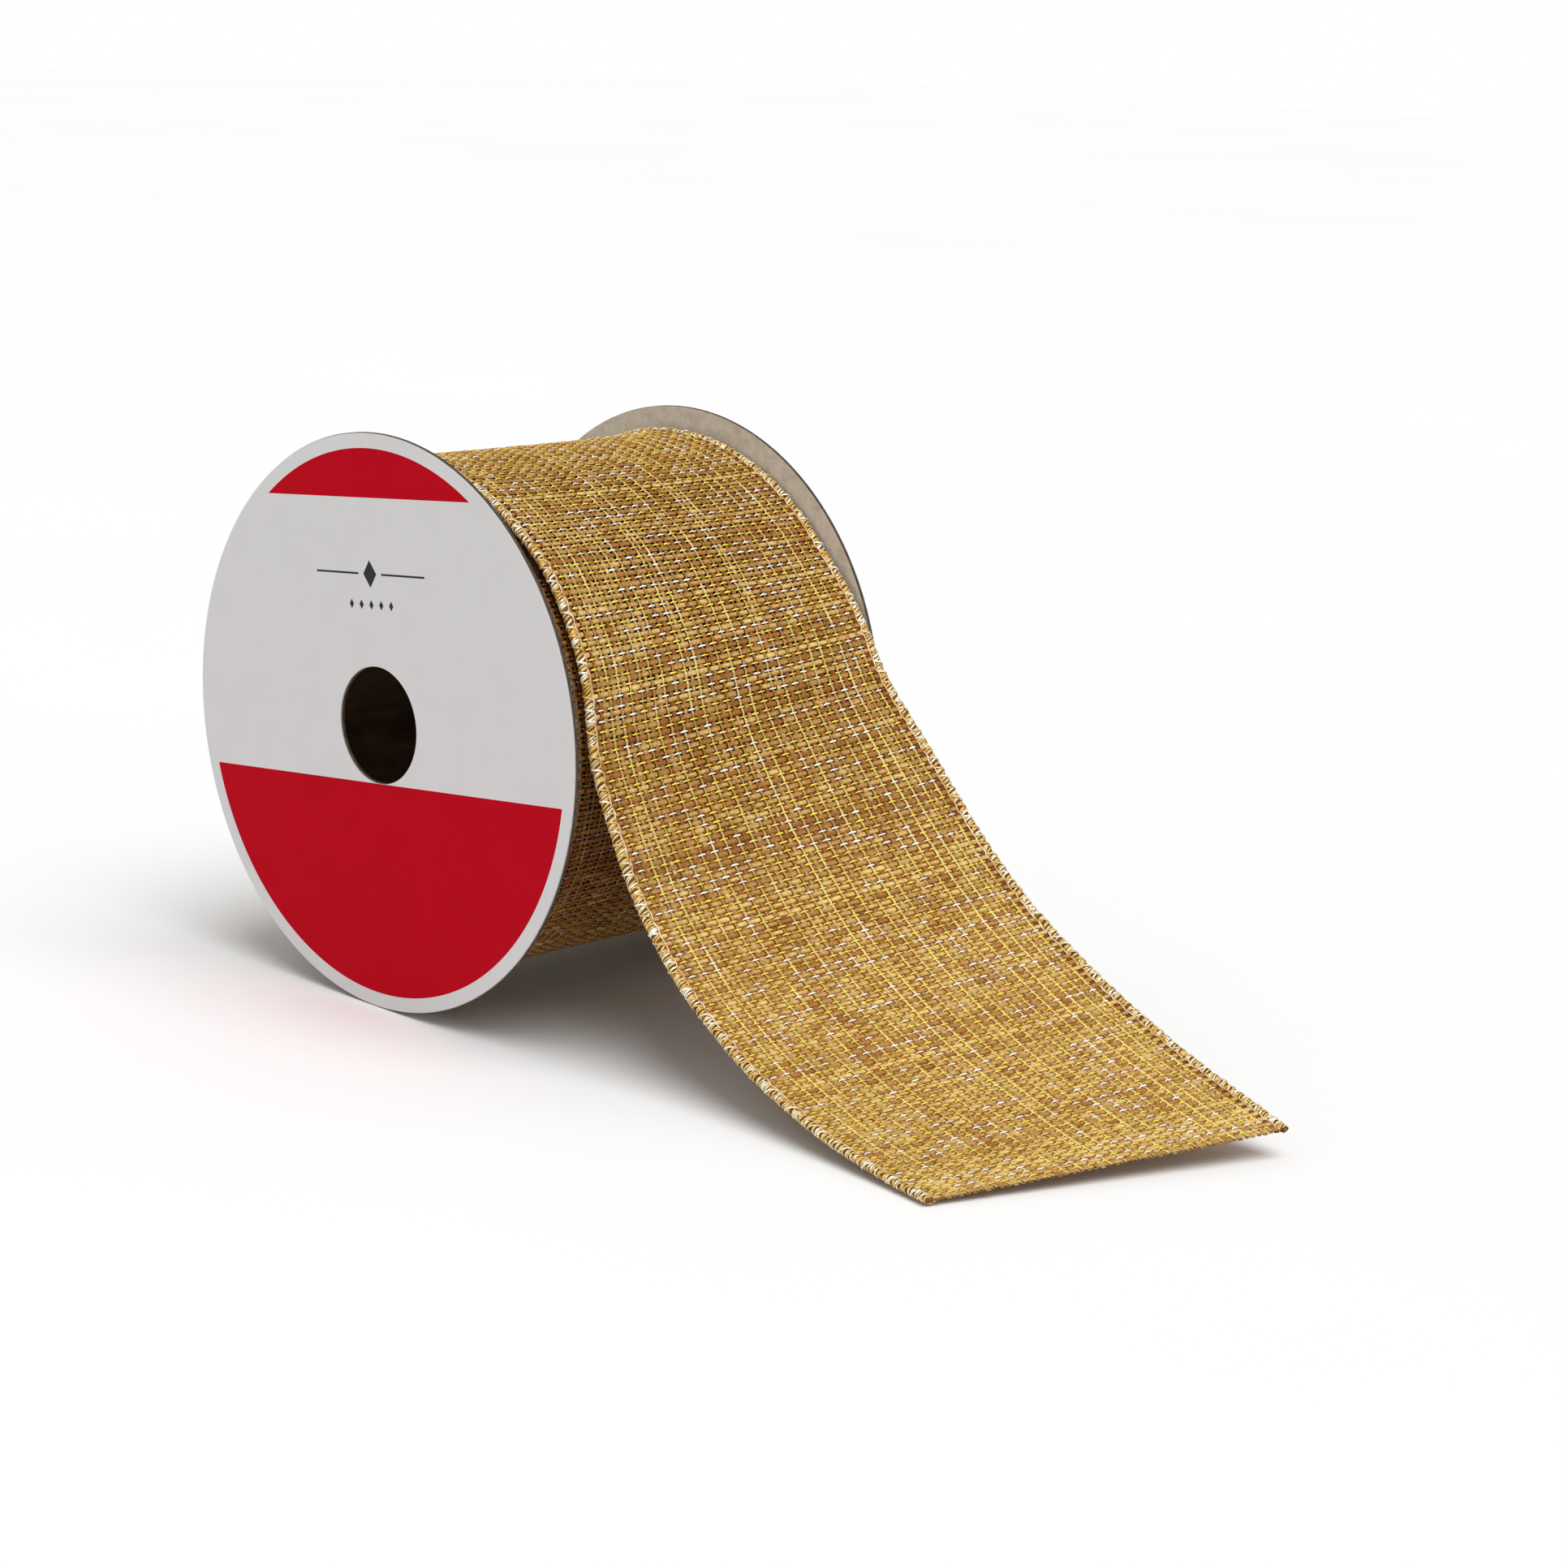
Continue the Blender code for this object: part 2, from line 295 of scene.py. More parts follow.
def shaded_wound_material():
    """The inner turns' cloth: the same weave drawn in colour and bump, in dark colours that paint the
    shade between the flanges.
    """
    m = Material("wound_ribbon_painted_shade", Roughness=0.7)
    weave = m.math("MULTIPLY", m.noise(900, 1.0), m.noise(1700, 2.0, vector=m.stretched((1, 0.5, 1))))
    m.set(Base_Color=m.ramp(weave, (0.15, srgb(38, 18, 6)), (0.3, srgb(112, 72, 34)),
                            (0.42, srgb(150, 110, 60))))
    m.bump(weave, 0.3 * MM, 0.8)
    return m.material


def greyboard_material():
    """Grey pulp board with darker flecks."""
    m = Material("greyboard", Roughness=0.88)
    pulp = m.noise(420, 5.0, 0.65)
    flecks = m.noise(2300, 2.0)
    colour = m.ramp(pulp, (0.32, srgb(196, 184, 168)), (0.5, srgb(212, 202, 188)),
                    (0.68, srgb(222, 214, 202)))
    speck = m.ramp(flecks, (0.30, srgb(120, 108, 94)), (0.37, (1.0, 1.0, 1.0)))
    m.set(Base_Color=m.mix(0.35, colour, speck, "MULTIPLY"))
    m.bump(m.math("ADD", pulp, flecks), 0.06 * MM, 0.5)
    return m.material


def board_edge_material():
    """The die-cut edge of the board: darker, with the layers of pulp showing along it."""
    m = Material("board_edge", Roughness=0.95)
    layers = m.noise(600, 4.0, vector=m.stretched((1, 9, 1)))
    m.set(Base_Color=m.ramp(layers, (0.3, srgb(36, 29, 24)), (0.55, srgb(74, 62, 52)),
                            (0.72, srgb(112, 98, 84))))
    m.bump(layers, 0.12 * MM, 0.9)
    return m.material


def paper_material(name, light, dark, gloss, roughness=0.42):
    """Printed paper, with a faint unevenness of ink and surface."""
    m = Material(name, Specular_IOR_Level=gloss)
    ink = m.noise(160, 4.0, 0.6)
    tooth = m.noise(1900, 3.0)
    m.set(Base_Color=m.ramp(ink, (0.3, dark), (0.7, light)),
          Roughness=m.range(tooth, 0.3, 0.7, roughness - 0.05, roughness + 0.08))
    m.bump(m.math("ADD", m.math("MULTIPLY", m.noise(45, 2.0), 6.0), tooth), 0.012 * MM, 0.5)
    return m.material


def kraft_material():
    """The core's brown paperboard, with fibres that run along it."""
    m = Material("core_kraft", Roughness=0.9)
    fibres = m.noise(300, 5.0, 0.6, vector=m.stretched((1, 0.25, 1)))
    m.set(Base_Color=m.ramp(fibres, (0.3, srgb(84, 62, 42)), (0.7, srgb(128, 98, 68))))
    m.bump(fibres, 0.1 * MM, 0.6)
    return m.material


def tape_material():
    """Yellowish adhesive tape, slightly cloudy."""
    m = Material("tape", Roughness=0.35)
    cloudy = m.noise(250, 3.0)
    m.set(Base_Color=m.ramp(cloudy, (0.3, srgb(205, 190, 150)), (0.7, srgb(228, 218, 188))),
          Roughness=m.range(cloudy, 0.3, 0.7, 0.28, 0.5))
    m.bump(cloudy, 0.04 * MM, 0.5)
    return m.material


def wire_material():
    """Drawn steel wire."""
    m = Material("edge_wire", Metallic=1.0)
    drawn = m.noise(3000, 2.0)
    m.set(Base_Color=m.ramp(drawn, (0.3, srgb(150, 146, 140)), (0.7, srgb(205, 202, 196))),
          Roughness=m.range(drawn, 0.3, 0.7, 0.25, 0.45))
    return m.material


# ---------------- meshes

def add_object(name, data):
    """A new object in the scene."""
    obj = bpy.data.objects.new(name, data)
    bpy.context.scene.collection.objects.link(obj)
    return obj


def mesh_object(name, vertices, faces, materials):
    """A mesh object from an array of points and a list of (faces, corners) index arrays."""
    mesh = bpy.data.meshes.new(name)
    loops = np.concatenate([f.ravel() for f in faces])
    totals = np.concatenate([np.full(len(f), f.shape[1]) for f in faces])
    starts = np.concatenate(([0], np.cumsum(totals)[:-1]))
    mesh.vertices.add(len(vertices))
    mesh.vertices.foreach_set("co", vertices.astype(np.float32).ravel())
    mesh.loops.add(len(loops))
    mesh.loops.foreach_set("vertex_index", loops.astype(np.int32))
    mesh.polygons.add(len(totals))
    mesh.polygons.foreach_set("loop_start", starts.astype(np.int32))
    mesh.polygons.foreach_set("loop_total", totals.astype(np.int32))
    mesh.update(calc_edges=True)
    mesh.shade_smooth()
    for material in materials:
        mesh.materials.append(material)
    return add_object(name, mesh)


def tubes(name, points, material, **attributes):
    """Closed tubes from points of shape (tube, section, corner, xyz).

    Corners run anticlockwise when the tube is seen end on, coming towards the viewer.
    An attribute has one number for each tube and section, or for each corner too.
    """
    count, sections, corners = points.shape[:3]
    index = np.arange(count * sections * corners).reshape(count, sections, corners)
    here, ahead = index[:, :-1], index[:, 1:]
    sides = np.stack((here, np.roll(here, -1, 2), np.roll(ahead, -1, 2), ahead), -1)
    caps = np.concatenate((index[:, 0, ::-1], index[:, -1]))
    obj = mesh_object(name, points.reshape(-1, 3), (sides.reshape(-1, 4), caps), (material,))
    for key, values in attributes.items():
        values = values if np.ndim(values) == 3 else np.asarray(values)[..., None]
        values = np.broadcast_to(values, (count, sections, corners))
        layer = obj.data.attributes.new(key, "FLOAT", "POINT")
        layer.data.foreach_set("value", values.astype(np.float32).ravel())
    return obj


def corner_angles(corners):
    return (np.arange(corners) + 0.5) * math.tau / corners


# ---------------- ribbon path

def bezier(points, t):
    a, b, c, d = points
    s = 1 - t
    return a * s ** 3 + b * 3 * s ** 2 * t + c * 3 * s * t ** 2 + d * t ** 3


def direction(angle):
    return np.array((math.cos(angle), math.sin(angle)))


def smoothstep(t):
    t = np.clip(t, 0, 1)
    return t * t * (3 - 2 * t)


def tail_path():
    """Middle points and directions across, for distances in equal steps from the peel line."""
    peel = direction(PEEL_ANGLE) * WRAP_RADIUS
    leave = direction(PEEL_ANGLE - math.pi / 2)
    bend = direction(-BEND_SLOPE)
    first = (peel, peel + leave * LEAVE_HANDLE, BEND_POINT - bend * BEND_HANDLE_IN, BEND_POINT)
    second = (BEND_POINT, BEND_POINT + bend * BEND_HANDLE_OUT,
              END_POINT - direction(-END_SLOPE) * END_HANDLE, END_POINT)
    t = np.linspace(0, 1, 801)[:, None]
    line = np.concatenate((bezier(first, t)[:-1], bezier(second, t)))
    distance = np.concatenate(([0], np.cumsum(np.linalg.norm(np.diff(line, axis=0), axis=1))))
    s = np.arange(0, distance[-1] + PATH_STEP, PATH_STEP)
    s[-1] = distance[-1]
    u = s / distance[-1]
    middle = np.stack((np.interp(s, distance, line[:, 0]), WRAP_SHIFT + TAIL_DRIFT * u * u,
                       np.interp(s, distance, line[:, 1])), -1)
    skew = TAIL_SKEW * smoothstep(u / TAIL_SKEW_FULL_AT)
    tilt = TAIL_TILT_MID * 4 * u * (1 - u) + TAIL_TILT_END * u
    across = np.stack((np.sin(skew) * np.cos(tilt), np.cos(skew) * np.cos(tilt), np.sin(tilt)), -1)
    return s, middle, across


def wrap_path():
    """The same for one turn on the roll, from its inner end (the lowest s) to the peel line."""
    turn = np.linspace(math.tau, 0, 3000)
    radius = WRAP_RADIUS - TURN_PITCH * turn / math.tau
    s = -(WRAP_RADIUS * turn - TURN_PITCH * turn ** 2 / (2 * math.tau))
    angle = PEEL_ANGLE + turn
    shift = WRAP_SHIFT + (ROLL_SHIFT - WRAP_SHIFT) * turn / math.tau
    middle = np.stack((np.cos(angle) * radius, shift, np.sin(angle) * radius), -1)
    across = np.tile((0.0, 1.0, 0.0), (len(turn), 1))
    return s, middle, across


def smoothed(values, step, width):
    """Gaussian smoothing along the first axis. The ends are carried on in a straight line."""
    reach = int(3 * width / step)
    kernel = np.exp(-0.5 * (np.arange(-reach, reach + 1) * step / width) ** 2)
    kernel /= kernel.sum()
    run = np.arange(1, reach + 1)[:, None]
    before = values[0] - (values[1] - values[0]) * run[::-1]
    after = values[-1] + (values[-1] - values[-2]) * run
    padded = np.concatenate((before, values, after))
    return np.stack([np.convolve(column, kernel, "valid") for column in padded.T], -1)


class Ribbon:
    """The ribbon's path, as a map from ribbon coordinates to points."""

    def __init__(self):
        wrap, tail = wrap_path(), tail_path()
        s, middle, across = (np.concatenate((a[:-1], b)) for a, b in zip(wrap, tail))
        self.s = np.arange(s[0], s[-1], PATH_STEP)
        even = [np.stack([np.interp(self.s, s, column) for column in values.T], -1)
                for values in (middle, across)]
        self.middle = smoothed(even[0], PATH_STEP, PATH_SMOOTHING)
        across = smoothed(even[1], PATH_STEP, PATH_SMOOTHING)
        self.across = across / np.linalg.norm(across, axis=1)[:, None]
        along = np.gradient(self.middle, axis=0)
        normal = np.cross(along, self.across)
        self.normal = normal / np.linalg.norm(normal, axis=1)[:, None]
        self.start, self.end = s[0], s[-1]

    def frame(self, s):
        return [np.stack([np.interp(s, self.s, column) for column in values.T], -1)
                for values in (self.middle, self.across, self.normal)]

    def point(self, s, v, n):
        """Points of the shaped ribbon, in the row frame."""
        middle, across, normal = self.frame(s)
        half = RIBBON_WIDTH / 2
        share = np.clip(v / half, -1.1, 1.1)
        edge = share ** 4
        on_roll = smoothstep(-s / SAG_CHANGE_LENGTH)
        sag = (FABRIC_SAG * (1 - edge) * (TAIL_SAG_SHARE + (1 - TAIL_SAG_SHARE) * on_roll)
               + WRAP_SETTLE * on_roll)
        phase = np.where(v < 0, 0.0, BACK_HEM_PHASE)
        ripple = (HEM_RIPPLE_HEIGHT * np.sin(s / HEM_RIPPLE_LENGTH + phase)
                  + HEM_SHORT_RIPPLE_HEIGHT * np.sin(s / HEM_SHORT_RIPPLE_LENGTH + phase * 2.3))
        swell = SWELL_HEIGHT * np.sin(s / SWELL_LENGTH + 1.0) * np.cos(v / SWELL_WIDTH)
        height = n - sag + ripple * edge + swell
        sway = HEM_SWAY * np.sin(s / HEM_SWAY_LENGTH + phase * 1.7) * edge
        return (middle + across * (v + sway)[..., None] + normal * height[..., None]
                + SPOOL_MIDDLE)


ribbon = Ribbon()


# ---------------- yarns

def wander(positions, count, amplitude, shortest, longest, waves=4):
    """A slow random wave for each of count yarns, at the given positions along it."""
    total = np.zeros((count, len(positions)))
    for _ in range(waves):
        length = rng.uniform(shortest, longest, (count, 1))
        phase = rng.uniform(0, math.tau, (count, 1))
        total += np.sin(positions[None, :] * math.tau / length + phase)
    return total * amplitude / math.sqrt(waves)


def rise(s, start, length):
    """Goes smoothly from 0 at start to 1 at start + length."""
    return smoothstep((s - start) / length)


def pair_pitch(s):
    """How far apart the rows lie at a place along the ribbon."""
    on_tail = rise(s, -6 * MM, 22 * MM)
    near_end = rise(s, 55 * MM, 25 * MM)
    return (ROLL_PAIR_PITCH + (TAIL_PAIR_PITCH - ROLL_PAIR_PITCH) * on_tail
            + (END_PAIR_PITCH - TAIL_PAIR_PITCH) * near_end)


def rows_towards(limit, sign):
    """Row places from the peel line to a limit, in one direction. The last row is at the limit."""
    places = [0.0]
    while (limit - places[-1]) * sign > pair_pitch(places[-1]):
        places.append(places[-1] + sign * pair_pitch(places[-1]))
    return [place * limit / places[-1] for place in places]


def light_behind(s):
    """How much light from the table comes up through the cloth: none on the roll, most at the end."""
    return rise(s, 15 * MM, 85 * MM)


def under_tail_shade(s):
    """How deep the outermost turn's inner end lies in the gap between the roll and the tail: how much
    painted shade of the tail it gets.
    """
    return 1 - rise(s, ribbon.start + 50 * MM, 60 * MM)


# Changes of tone: painted shade on warps that lie under the thick wefts and a painted highlight on
# those over them, from corner to corner of a yarn (its plies), painted light on the tail where
# light comes through, and painted shade where the cloth is tucked in under the tail. The last also
# darkens by the attribute for dives and, on metallic threads, by a further painted-shade attribute.
UNDER_WARP_SHADE = -0.16
OVER_WARP_HIGHLIGHT = 0.1
PLY_CONTRAST = 0.16
TAIL_LIGHT_TONE = 0.2
TUCKED_SHADE_TONE = 0.27
TUCKED_SHADE_DIVE = 0.3
TUCKED_THREAD_SHADE = 0.75

# The outermost warps, next to the hem, are darker
SELVEDGE_TONE = -0.35
SELVEDGE_FROM = 27.5 * MM
SELVEDGE_WIDTH = 1.6 * MM

# (amplitude, shortest wave, longest wave) of each kind of yarn's changes along itself, and the
# range of its middle tone
WARP_CHANGES = {"shift": (0.07 * MM, 7 * MM, 40 * MM), "girth": (0.10, 6 * MM, 30 * MM),
                "tone": (0.14, 2.5 * MM, 20 * MM), "middle_tone": (0.42, 0.72)}
THICK_CHANGES = {"shift": (0.05 * MM, 8 * MM, 50 * MM), "girth": (0.09, 3 * MM, 20 * MM),
                 "tone": (0.14, 2.5 * MM, 14 * MM), "middle_tone": (0.42, 0.66)}
THIN_CHANGES = {**THICK_CHANGES, "girth": (0.2, 3 * MM, 20 * MM)}
THIN_SINK = 0.035 * MM
THICK_SINK = 0.02 * MM
CUT_SPREAD = 0.07 * MM


def yarn_tables(places, count, changes):
    """Shift, girth and tone of count yarns at places along them."""
    return {
        "shift": wander(places, count, *changes["shift"]),
        "girth": 1 + wander(places, count, *changes["girth"]),
        "tone": (rng.uniform(*changes["middle_tone"], (count, 1))
                 + wander(places, count, *changes["tone"])),
    }


class Weave:
    """Places and colours of every yarn, worked out once for the whole length.

    Even warps lie under the thick wefts and over the thin ones, and odd warps the other way
    round. Row 0 is at the peel line.
    """

    # Half width and half thickness. Even warps are flattened under the thick wefts.
    EVEN_WARP_HALF = (0.46 * MM, 0.13 * MM)
    ODD_WARP_HALF = (0.25 * MM, 0.14 * MM)
    THICK_HALF = (0.44 * MM, 0.17 * MM)
    THIN_HALF = (0.18 * MM, 0.08 * MM)
    # A warp's course from row to row: (share of a row after its thick weft, height in mm)
    ODD_WARP = ((-0.21, 0.17), (0.0, 0.22), (0.21, 0.17), (0.5, 0.0))
    EVEN_WARP = ((0.0, -0.2), (0.27, 0.0), (0.5, 0.14), (0.73, 0.0))
    # A weft's height in mm at even and odd warps, and how far it keeps it, in warp pitches
    THICK_HEIGHTS = (0.17, -0.17)
    THICK_REACH = (0.64, 0.2)
    THIN_HEIGHTS = (-0.15, 0.245)
    THIN_REACH = (0.3, 0.4)

    def __init__(self):
        back, ahead = rows_towards(ribbon.start, -1), rows_towards(ribbon.end - CUT_FRINGE, 1)
        self.first_row = 1 - len(back)
        self.rows = np.arange(self.first_row, len(ahead))
        self.row_places = np.array(back[:0:-1] + ahead)
        self.warps = np.arange(WARP_COUNT)
        across = np.linspace(-1, 1, WARP_COUNT)
        self.warp_v = WARP_SPAN / 2 * (across + WARP_CROWDING * (across - across ** 3))
        self.warp_pitch = np.gradient(self.warp_v)
        knots = self.place(np.arange(self.rows[0], self.rows[-1] + 0.5, 0.5))
        self.knots = knots
        self.warp = yarn_tables(knots, WARP_COUNT, WARP_CHANGES)
        selvedge = np.clip((np.abs(self.warp_v) - SELVEDGE_FROM) / SELVEDGE_WIDTH, 0, 1)
        self.warp["tone"] += SELVEDGE_TONE * selvedge[:, None]
        count = len(self.rows)
        self.thick = yarn_tables(self.warp_v, count, THICK_CHANGES)
        self.thin = yarn_tables(self.warp_v, count, THIN_CHANGES)
        # A metallic weft turns from gold to silver in short runs, and at single crossings.
        # The near-white is partly silver thread and partly painted glints.
        runs = wander(self.warp_v, count, 0.8, 5 * MM, 40 * MM)
        runs += rng.normal(-0.5, 0.5, (count, 1)) + rng.normal(0, 0.6, runs.shape)
        self.silver = smoothstep(runs * 2.2 + 0.5)
        self.thin["sink"] = rng.normal(0, THIN_SINK, runs.shape)
        self.thick["sink"] = rng.normal(0, THICK_SINK, runs.shape)

    def place(self, row):
        """Where a row is along the ribbon. A fraction of a row is a place between two."""
        return np.interp(row, self.rows, self.row_places)

    def at(self, table, s):
        """Values of a (warp, knot) table at positions s."""
        return np.stack([np.interp(s, self.knots, row) for row in table])

    def warp_points(self, start_row, end_row, chosen, cut=False):
        """Tubes of the chosen warps between two rows: points, tone and the painted shade of their
        dives.

        All of chosen are odd, or all are even. Cut warps end unevenly at the ribbon's end.
        """
        is_odd = chosen[0] % 2
        profile = self.ODD_WARP if is_odd else self.EVEN_WARP
        half = self.ODD_WARP_HALF if is_odd else self.EVEN_WARP_HALF
        shares = np.array([p[0] for p in profile])
        heights = np.array([p[1] for p in profile])
        rows = np.arange(start_row - 1, end_row + 2)
        share = (rows[:, None] + shares).ravel()
        height = np.tile(heights, len(rows))
        inside = (share > start_row + 0.02) & (share < end_row - 0.02)
        ends = np.array((start_row, end_row), float)
        end_heights = np.interp(ends, share, height)
        share = np.concatenate((ends[:1], share[inside], ends[1:]))
        height = np.concatenate((end_heights[:1], height[inside], end_heights[1:]))
        s = self.place(share)
        angles = corner_angles(5)
        girth = self.at(self.warp["girth"][chosen], s)[..., None]
        v = (self.warp_v[chosen, None] + self.at(self.warp["shift"][chosen], s))[..., None]
        v = v + np.cos(angles) * half[0] * girth
        n = (height * MM)[None, :, None] + np.sin(angles) * half[1] * girth
        s = np.broadcast_to(s[None, :, None], v.shape).copy()
        if cut:
            s[:, -1] = ribbon.end + rng.normal(0, CUT_SPREAD, (len(chosen), 1))
        sections = s[0, :, 0]
        behind, tucked = light_behind(sections), under_tail_shade(sections)
        # Painted light on the tail and painted shade under it; painted shade on under warps, a painted
        # highlight on over warps.
        tone = self.at(self.warp["tone"][chosen], sections) + TAIL_LIGHT_TONE * behind - TUCKED_SHADE_TONE * tucked
        tone += OVER_WARP_HIGHLIGHT if is_odd else UNDER_WARP_SHADE
        tone = tone[..., None] + rng.normal(0, PLY_CONTRAST, (len(chosen), 1, len(angles)))
        # Painted shade where the warp goes down under the wefts: less where light comes through on the
        # tail, more under the tail.
        dive = np.interp(height, (-0.2, 0.1), (0.8, 0.0)) * (1 - 0.5 * behind) + TUCKED_SHADE_DIVE * tucked
        dive = np.broadcast_to(dive, tone.shape[:2])
        return ribbon.point(s, v, n), tone, dive

    def weft_points(self, rows, thin):
        """Tubes of the thin or thick wefts of some rows: points, tone, the painted shade of their
        dives, and their silver, partly painted glints.
        """
        heights = self.THIN_HEIGHTS if thin else self.THICK_HEIGHTS
        half = self.THIN_HALF if thin else self.THICK_HALF
        yarns = self.thin if thin else self.thick
        even_reach, odd_reach = self.THIN_REACH if thin else self.THICK_REACH
        reach = np.where(self.warps % 2, odd_reach, even_reach) * self.warp_pitch
        v = np.stack((self.warp_v - reach, self.warp_v + reach), -1).ravel()
        height = np.repeat(np.where(self.warps % 2, heights[1], heights[0]), 2)
        over = np.repeat(np.where(self.warps % 2, thin, not thin), 2)
        pick = rows - self.first_row
        shift, girth, tone, sink = (np.repeat(yarns[key][pick], 2, axis=1)[..., None]
                                    for key in ("shift", "girth", "tone", "sink"))
        middle = self.place(rows + (0.5 if thin else 0.0))
        behind, tucked = light_behind(middle)[:, None], under_tail_shade(middle)[:, None]
        angles = corner_angles(4 if thin else 5)
        width = np.where(over, 1.0, 0.9)[None, :, None] * girth
        s = middle[:, None, None] + shift + np.sin(angles) * half[0] * width
        n = (height * MM)[None, :, None] + sink + np.cos(angles) * half[1]
        v = np.broadcast_to(v[None, :, None], s.shape)
        # Painted shade where the weft goes under the warps: less where light comes through on the
        # tail, more under the tail.
        dive = np.where(over, 0.0, 0.9) * (1 - 0.5 * behind) + TUCKED_SHADE_DIVE * tucked
        silver = np.repeat(self.silver[pick], 2, axis=1)
        plies = rng.normal(0, PLY_CONTRAST, (len(rows), 1, len(angles)))
        # Painted light on the tail and painted shade under it.
        tone = tone + (TAIL_LIGHT_TONE * behind - TUCKED_SHADE_TONE * tucked)[..., None] + plies
        return ribbon.point(s, v, n), tone, dive, silver


weave = Weave()


# ---------------- ribbon zones

ZONES = {
    "wrap": (int(weave.rows[0]), PEEL_ZONE_FIRST_ROW),
    "peel": (PEEL_ZONE_FIRST_ROW, PEEL_ZONE_LAST_ROW),
    "tail": (PEEL_ZONE_LAST_ROW, int(weave.rows[-1])),
}


def join(obj, zone):
    """Puts a wrap piece on the ribbon_wrap body. A piece of the peel or tail zone has its transform
    baked into its mesh.
    """
    if zone == "wrap":
        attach(obj, "ribbon_wrap")
    elif zone == "peel":
        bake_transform(obj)
    else:
        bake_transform(obj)


STOOD_FOR = {"wrap": "wrap", "peel": "tail_upper", "tail": "tail_lower"}


def make_weave(zone, materials):
    """The yarns of one zone. The wrap's warps of each kind and its thick wefts are split into two
    pieces, for their size.
    """
    first, last = ZONES[zone]
    is_tail = zone == "tail"
    made = []
    splits = 2 if zone == "wrap" else 1
    for odd in (0, 1):
        chosen = np.arange(odd, WARP_COUNT, 2)
        for part, warps in enumerate(np.array_split(chosen, splits)):
            points, tone, dive = weave.warp_points(first, last, warps, cut=is_tail)
            name = f"{zone}_{'over' if odd else 'under'}_warps_{part + 1}"
            made.append(tubes(name, points, materials["warp"], tone=tone, dive=dive))
    rows = np.arange(first, last + (1 if is_tail else 0))
    for part, picks in enumerate(np.array_split(rows, splits)):
        points, tone, dive, _ = weave.weft_points(picks, thin=False)
        made.append(tubes(f"{zone}_thick_wefts_{part + 1}", points, materials["weft"],
                          tone=tone, dive=dive))
    thin_rows = rows[:-1] if is_tail else rows
    points, _, _, silver = weave.weft_points(thin_rows, thin=True)
    # Painted shade on the metallic wefts where the turn's inner end lies under the tail.
    tucked = TUCKED_THREAD_SHADE * under_tail_shade(weave.place(thin_rows + 0.5))[:, None]
    made.append(tubes(f"{zone}_metallic_wefts", points, materials["metallic"],
                      silver=silver, tucked=tucked))
    made.append(make_shade_ground(zone, first, last, materials["ground"]))
    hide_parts(f"{STOOD_FOR[zone]}_fabric")
    for obj in made:
        join(obj, zone)


GROUND_HALF_THICKNESS = 0.03 * MM
GROUND_HALF_WIDTH = RIBBON_WIDTH / 2 - 1.4 * MM


def make_shade_ground(zone, first, last, material):
    """The thin ground cloth in the middle of the weave: dark as painted shade, lighter as painted
    light on the tail.
    """
    s = weave.place(np.arange(first, last + 1))
    v, n = strip_section(GROUND_HALF_WIDTH, GROUND_HALF_THICKNESS, 31)
    return tubes(f"{zone}_shade_ground_cloth", strand(s, v, n), material, tone=light_behind(s)[None])


def strip_section(half_width, half_thickness, count):
    """Corners across the lower side of a flat strip and back across its upper side."""
    v = np.linspace(-half_width, half_width, count)
    n = np.full(count, -half_thickness)
    return np.concatenate((v, v[::-1])), np.concatenate((n, -n))


def strand(s, v, n):
    """Points of one tube along the ribbon. v and n are for each corner, or each section's corners."""
    shape = (len(s), np.shape(v)[-1])
    return ribbon.point(*(np.broadcast_to(a, shape) for a in (s[:, None], v, n)))[None]


def make_hems(zone, materials):
    """Both hems of one zone: the folded edge, its overlock threads, a stitch line and the wire."""
    first, last = ZONES[zone]
    start, end = weave.place(first), weave.place(last)
    if zone == "tail":
        end = ribbon.end
    wire_end = end + (WIRE_SHOWS if zone == "tail" else 0.0)
    for side, name in SIDES:
        place = (start, end, side)
        fold = hem_fold(f"{zone}_{name}_hem_fold", *place, materials["fold"])
        threads = hem_threads(f"{zone}_{name}_overlock", *place, materials["overlock"])
        needle = hem_needle_line(f"{zone}_{name}_needle_line", *place, materials["overlock"])
        wire = hem_wire(f"{zone}_{name}_edge_wire", start, wire_end, side, materials["wire"])
        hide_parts(f"{STOOD_FOR[zone]}_{name}_hem")
        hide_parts(f"{STOOD_FOR[zone]}_{name}_wire")
        for obj in (fold, threads, needle, wire):
            join(obj, zone)


def along(start, end, step):
    """Places from start to end, about a step apart."""
    return np.linspace(start, end, max(2, round((end - start) / step) + 1))


def hem_fold(name, start, end, side, material):
    """The folded edge inside the overlock threads, a little lumpy."""
    s = along(start, end, 0.6 * MM)
    angles = corner_angles(8)
    lump = (1 + 0.10 * np.sin(s / (0.41 * MM)) + 0.05 * np.sin(s / (1.7 * MM)))[:, None]
    v = side * HEM_MIDDLE + np.cos(angles) * HEM_HALF_WIDTH * lump
    n = np.sin(angles) * HEM_HALF_HEIGHT * lump
    tone = 0.35 + 0.3 * np.sin(s / (2.9 * MM) + side) * np.sin(s / (0.9 * MM))
    # The folded edge is mixed part-way to its darker colour everywhere, and further under the tail as
    # painted shade.
    dive = 0.45 + 0.5 * under_tail_shade(s)
    return tubes(name, strand(s, v, n), material, tone=tone[None], dive=dive[None])


THREAD_PITCH = 1.9 * MM
THREAD_STEPS = 10
THREAD_HALF = (0.2 * MM, 0.07 * MM)
NEEDLE_THREAD_HALF = (0.13 * MM, 0.08 * MM)
# (hand, start angle, how far out it lies in mm): four threads one way, one crossing over them
OVERLOCK_THREADS = ((1, 0.0, 0.07), (1, 1.5, 0.10), (1, 3.0, 0.08), (1, 4.6, 0.12), (-1, 0.6, 0.21))


